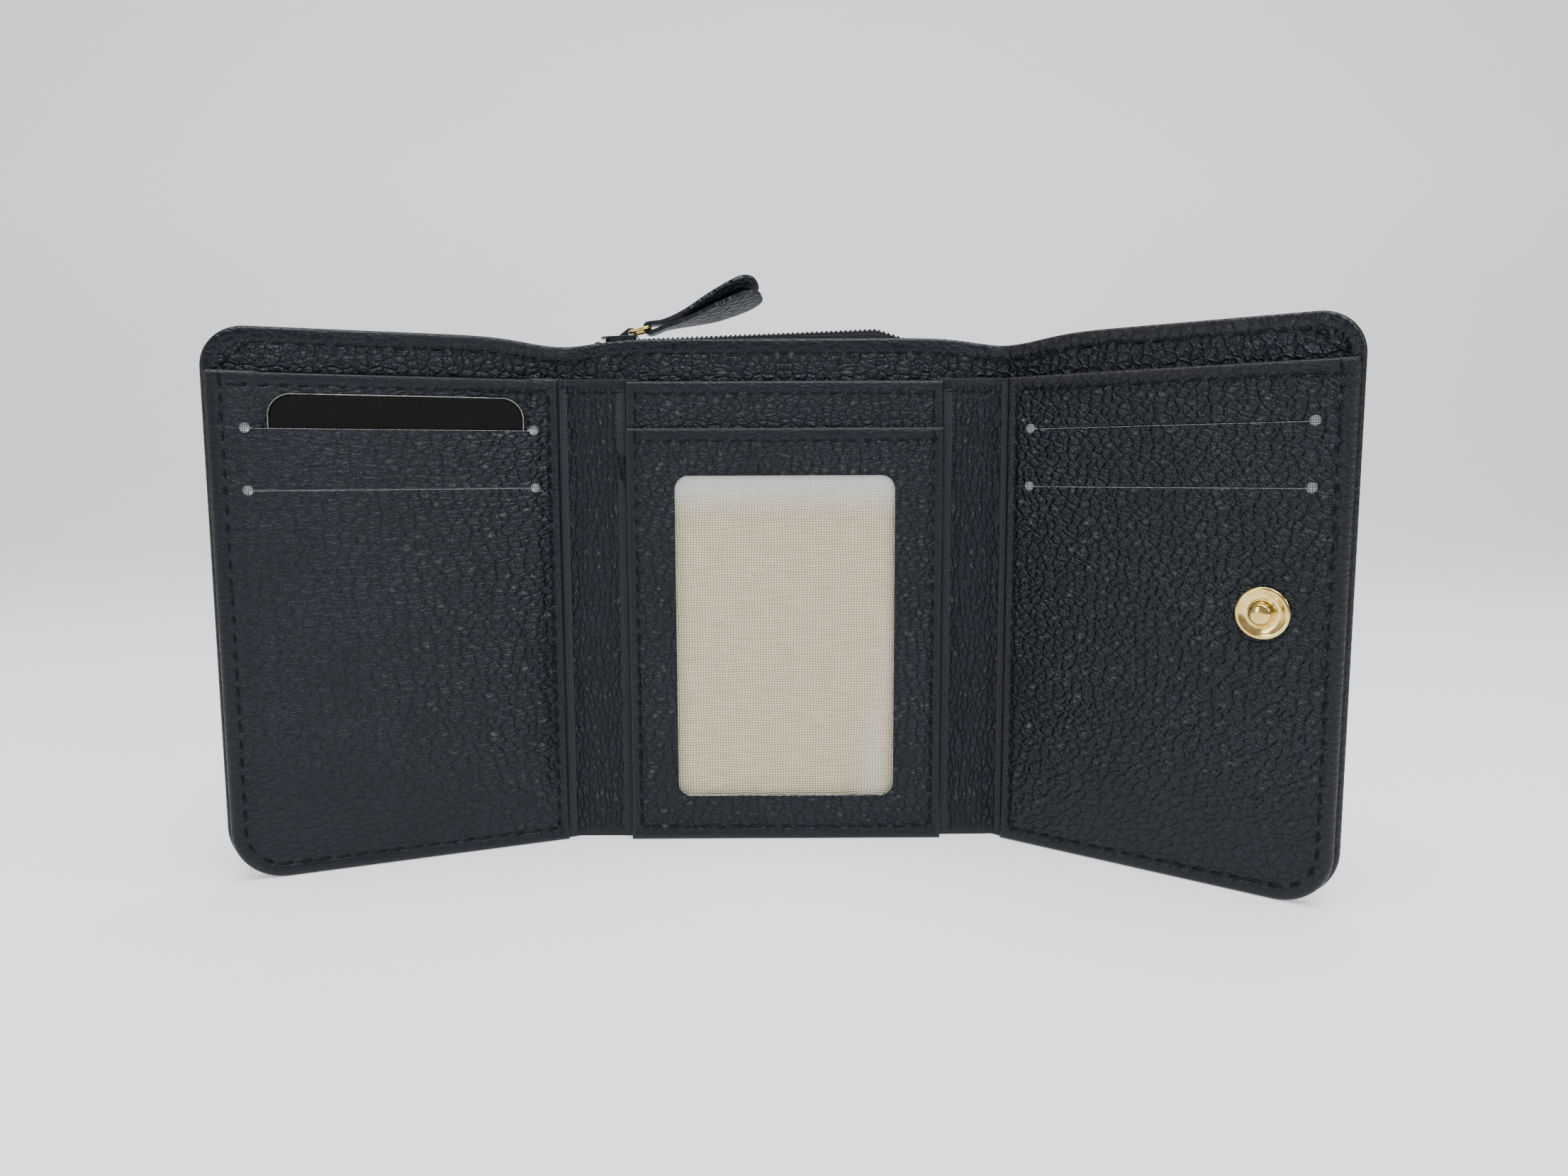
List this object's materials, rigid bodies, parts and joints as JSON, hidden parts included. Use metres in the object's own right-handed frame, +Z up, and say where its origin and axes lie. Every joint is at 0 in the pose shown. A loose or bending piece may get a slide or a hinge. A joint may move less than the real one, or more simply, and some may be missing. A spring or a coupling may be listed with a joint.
{
  "type": "trifold wallet",
  "caption": "Trifold leather wallet standing open: card slots on both wings, clear ID window, zipped coin pocket, press stud, note compartment.",
  "frame": {"origin": "middle of the centre section's bottom edge, on the front face of the inner card tier", "axes": "+X to the right seen from the open side, +Y from the open side to the back, +Z up along the folds"},
  "size_m": [0.2371, 0.0592, 0.1372],
  "materials": {
    "outer_leather": "pebbled black leather, satin",
    "inner_leather": "pebbled black leather, pressed flat, satin",
    "lining_cloth": "plain black lining cloth",
    "pocket_cloth": "thin grey pocket cloth",
    "cream_cloth": "coarse cream cloth",
    "board": "grey board",
    "clear_film": "clear flexible film",
    "thread": "black sewing thread",
    "zip_tape": "black woven tape",
    "zip_coil": "black nylon coil",
    "card": "matte black card with a pale edge",
    "gold_metal": "polished pale gold plating"
  },
  "bodies": {
    "centre": {"outer_shell_centre": "outer_leather", "facing_centre": "inner_leather", "note_wall_centre": "lining_cloth", "note_lining_centre": "lining_cloth", "stiffener_centre": "board", "back_tier_panel": "inner_leather", "id_pocket_cloth": "cream_cloth", "window_panel": "inner_leather", "window_film": "clear_film", "centre_thread": "thread", "coin_pocket_panel": "outer_leather", "coin_gusset_left": "lining_cloth", "coin_gusset_right": "lining_cloth", "coin_pocket_thread": "thread", "zip_coil_front": "zip_coil", "zip_coil_rear": "zip_coil", "zip_stops": "gold_metal", "zip_tape_front": "zip_tape", "zip_tape_rear": "zip_tape"},
    "left_fold": {"outer_shell_left_fold": "outer_leather", "facing_left_fold": "inner_leather", "note_wall_left_fold": "inner_leather", "left_fold_thread": "thread"},
    "left_wing": {"outer_shell_left_wing": "outer_leather", "facing_left_wing": "inner_leather", "note_wall_left_wing": "lining_cloth", "note_lining_left_wing": "lining_cloth", "stiffener_left_wing": "board", "left_pocket_panel": "inner_leather", "left_upper_pocket_cloth": "pocket_cloth", "left_lower_pocket_cloth": "pocket_cloth", "left_wing_thread": "thread", "snap_socket": "gold_metal", "snap_socket_rivet": "gold_metal"},
    "right_fold": {"outer_shell_right_fold": "outer_leather", "facing_right_fold": "inner_leather", "note_wall_right_fold": "inner_leather", "right_fold_thread": "thread"},
    "right_wing": {"outer_shell_right_wing": "outer_leather", "facing_right_wing": "inner_leather", "note_wall_right_wing": "lining_cloth", "note_lining_right_wing": "lining_cloth", "stiffener_right_wing": "board", "right_pocket_panel": "inner_leather", "right_upper_pocket_cloth": "pocket_cloth", "right_lower_pocket_cloth": "pocket_cloth", "right_wing_thread": "thread", "snap_stud": "gold_metal", "snap_stud_rivet": "gold_metal"},
    "slider": {"zip_slider": "gold_metal"},
    "pull": {"pull_ring": "gold_metal", "pull_tab": "outer_leather"},
    "card": {"display_card": "card"}
  },
  "joints": [
    {"name": "left_wing_fold", "type": "hinge", "parent": "left_fold", "child": "left_wing", "pos_m": [-0.05115, 0.0016, 0], "axis": [0, 0, 1], "range_deg": [-22, 124]},
    {"name": "left_strip_fold", "type": "hinge", "parent": "centre", "child": "left_fold", "pos_m": [-0.04035, 0.0016, 0], "axis": [0, 0, 1], "range_deg": [0, 34]},
    {"name": "right_strip_fold", "type": "hinge", "parent": "centre", "child": "right_fold", "pos_m": [0.04035, 0.0016, 0], "axis": [0, 0, -1], "range_deg": [0, 90]},
    {"name": "right_wing_fold", "type": "hinge", "parent": "right_fold", "child": "right_wing", "pos_m": [0.05115, 0.0016, 0], "axis": [0, 0, -1], "range_deg": [-38, 49.8]},
    {"name": "slider_slide", "type": "slide", "parent": "centre", "child": "slider", "axis": [0.9993, 0, 0.0384], "range_m": [0, 0.0565]},
    {"name": "pull_swing", "type": "hinge", "parent": "slider", "child": "pull", "pos_m": [-0.0367, 0.0071, 0.12293], "axis": [0, -1, 0], "range_deg": [-9, 150]},
    {"name": "card_slide", "type": "slide", "parent": "left_wing", "child": "card", "axis": [0, 0, 1], "range_m": [0, 0.08]}
  ]
}
